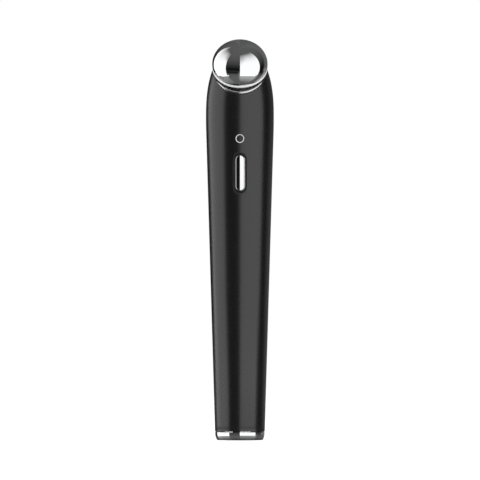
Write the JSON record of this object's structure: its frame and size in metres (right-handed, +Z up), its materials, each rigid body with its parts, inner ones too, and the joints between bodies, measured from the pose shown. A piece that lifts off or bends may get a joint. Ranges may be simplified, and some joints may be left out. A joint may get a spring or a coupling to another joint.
{
  "type": "galvanic eye massager",
  "caption": "Slim tapered metal wand that stands on its tail, with a tilted chromed dome for the skin, a long front button, a small lamp and a screw cap for its cell.",
  "frame": {"origin": "centre of the flat base of the screw cap, on the wand's axis", "axes": "+Z up along the wand, -Y out of the front with the button and the lamp, +X to the viewer's right"},
  "size_m": [0.0224, 0.0254, 0.1319],
  "materials": {
    "black_sleeve": "glossy black",
    "chrome": "polished",
    "black_collar": "gloss",
    "black_silicone": "matte",
    "satin_ring": "satin",
    "smoked_lens": "gloss, smoked",
    "steel": "plain",
    "brass": "plain",
    "satin_weight": "sintered",
    "grey_plastic": "moulded",
    "black_plastic": "moulded",
    "board_green": "solder mask",
    "ferrite": "matte",
    "capacitor_tan": "satin",
    "led_white": "translucent",
    "rubber": "matte",
    "red_wire": "insulated wire",
    "black_wire": "insulated wire",
    "cell_jacket": "plain jacket"
  },
  "bodies": {
    "massager_body": {"body_sleeve": "black_sleeve", "trim_ring": "chrome", "head_collar": "black_collar", "head_electrode": "chrome", "head_screw": "steel", "head_lug": "brass", "head_lead": "red_wire", "button_seal": "black_silicone", "indicator_ring": "satin_ring", "light_pipe": "smoked_lens", "circuit_board": "board_green", "board_screw_1": "steel", "board_screw_2": "steel", "tact_switch": "grey_plastic", "control_chip": "black_plastic", "step_up_coil": "ferrite", "supply_capacitor": "capacitor_tan", "indicator_led": "led_white", "sleeve_contact": "brass", "board_carrier": "grey_plastic", "carrier_screw_1": "steel", "carrier_screw_2": "steel", "motor_can": "steel", "motor_boot": "rubber", "motor_lead_1": "black_wire", "motor_lead_2": "red_wire", "battery_tube": "grey_plastic", "cell_spring": "steel", "cell_plate": "brass", "tail_bush": "brass"},
    "button": {"power_button": "chrome", "switch_plunger": "black_plastic"},
    "motor_rotor": {"motor_shaft": "steel", "eccentric_weight": "satin_weight"},
    "cell": {"battery_cell": "cell_jacket"},
    "cap": {"tail_cap": "chrome", "tail_contact": "brass", "tail_o_ring": "rubber"}
  },
  "joints": [
    {"name": "button_press", "type": "slide", "parent": "massager_body", "child": "button", "axis": [0, 1, 0], "range_m": [0, 0.0004], "stiffness_N_per_m": 4000},
    {"name": "rotor_spin", "type": "hinge", "parent": "massager_body", "child": "motor_rotor", "pos_m": [0, -0.003, 0.11], "axis": [0, 0, 1], "continuous": true},
    {"name": "cell_travel", "type": "slide", "parent": "massager_body", "child": "cell", "axis": [0, 0, -1], "range_m": [0, 0.003], "deforming": ["cell_spring"]},
    {"name": "cap_turn", "type": "hinge", "parent": "cell", "child": "cap", "pos_m": [0, 0, 0], "axis": [0, 0, -1], "range_deg": [0, 720]}
  ],
  "couplings": [
    {"joint": "cell_travel", "follows": "cap_turn", "m_per_rad": 0.0002387}
  ]
}
